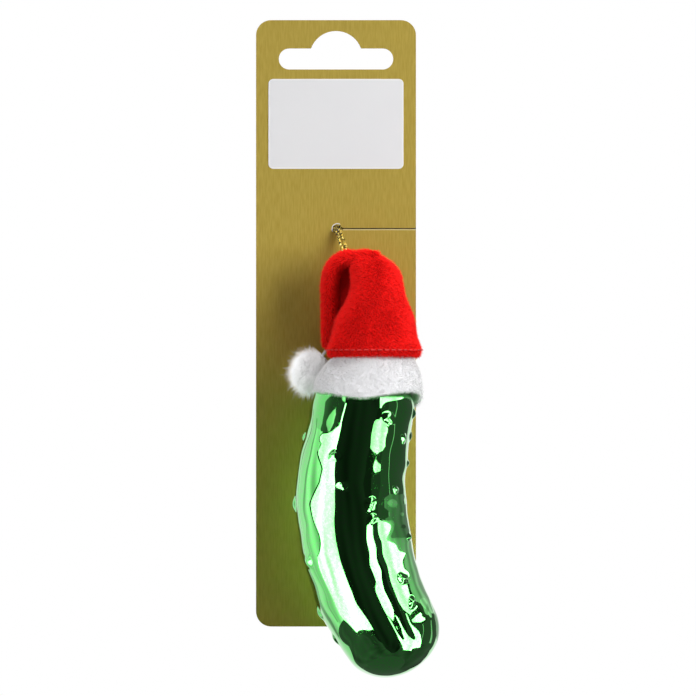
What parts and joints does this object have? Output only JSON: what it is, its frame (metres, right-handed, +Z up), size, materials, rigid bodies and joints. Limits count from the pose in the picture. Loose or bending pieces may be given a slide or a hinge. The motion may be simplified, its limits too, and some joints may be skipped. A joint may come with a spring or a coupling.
{
  "type": "pickle ornament on hang card",
  "caption": "Hollow glass pickle in a plush winter hat with a pom-pom, hung by a knotted metallic cord from a hole and slit in a slotted hang card.",
  "frame": {"origin": "crown of the card's hang slot, on the card's front face", "axes": "+X right seen from the front, +Y towards the back, +Z up"},
  "size_m": [0.0522, 0.0382, 0.1874],
  "materials": {
    "gold_card": "satin gold foil with fine brushed flecks",
    "label_paper": "smooth pale label",
    "gold_cord": "metallic gold thread",
    "green_glass": "blown glass, silvered inside and lacquered green",
    "cap_metal": "bright stamped metal",
    "wire_steel": "plain drawn wire",
    "red_plush": "short red plush pile",
    "white_fleece": "soft white fleece pile",
    "red_thread": "sewing thread",
    "white_thread": "sewing thread"
  },
  "bodies": {
    "card": {"hang_card": "gold_card", "blank_label": "label_paper"},
    "knot": {"cord_knot": "gold_cord"},
    "cord": {"cord_neck": "gold_cord"},
    "ornament": {"cord_loop": "gold_cord", "glass_pickle": "green_glass", "ornament_cap": "cap_metal", "hanger_wire": "wire_steel", "hat_crown": "red_plush", "hat_band": "white_fleece", "hem_stitches": "red_thread"},
    "pompom": {"pompom_thread": "white_thread", "hat_pompom": "white_fleece"}
  },
  "joints": [
    {"name": "slit_slide", "type": "slide", "parent": "card", "child": "knot", "axis": [1, 0, 0], "range_m": [0, 0.03], "deforming": ["cord_neck"]},
    {"name": "side_swing", "type": "hinge", "parent": "knot", "child": "cord", "pos_m": [0.0006, 0, -0.0568], "axis": [0, 1, 0], "range_deg": [-60, 60]},
    {"name": "lift_swing", "type": "hinge", "parent": "cord", "child": "ornament", "pos_m": [0.0006, -0.00066, -0.0568], "axis": [-1, 0, 0], "range_deg": [0, 90]},
    {"name": "pompom_swing", "type": "hinge", "parent": "ornament", "child": "pompom", "pos_m": [-0.00267, -0.0074, -0.09112], "axis": [0, 1, 0], "range_deg": [0, 45]}
  ]
}
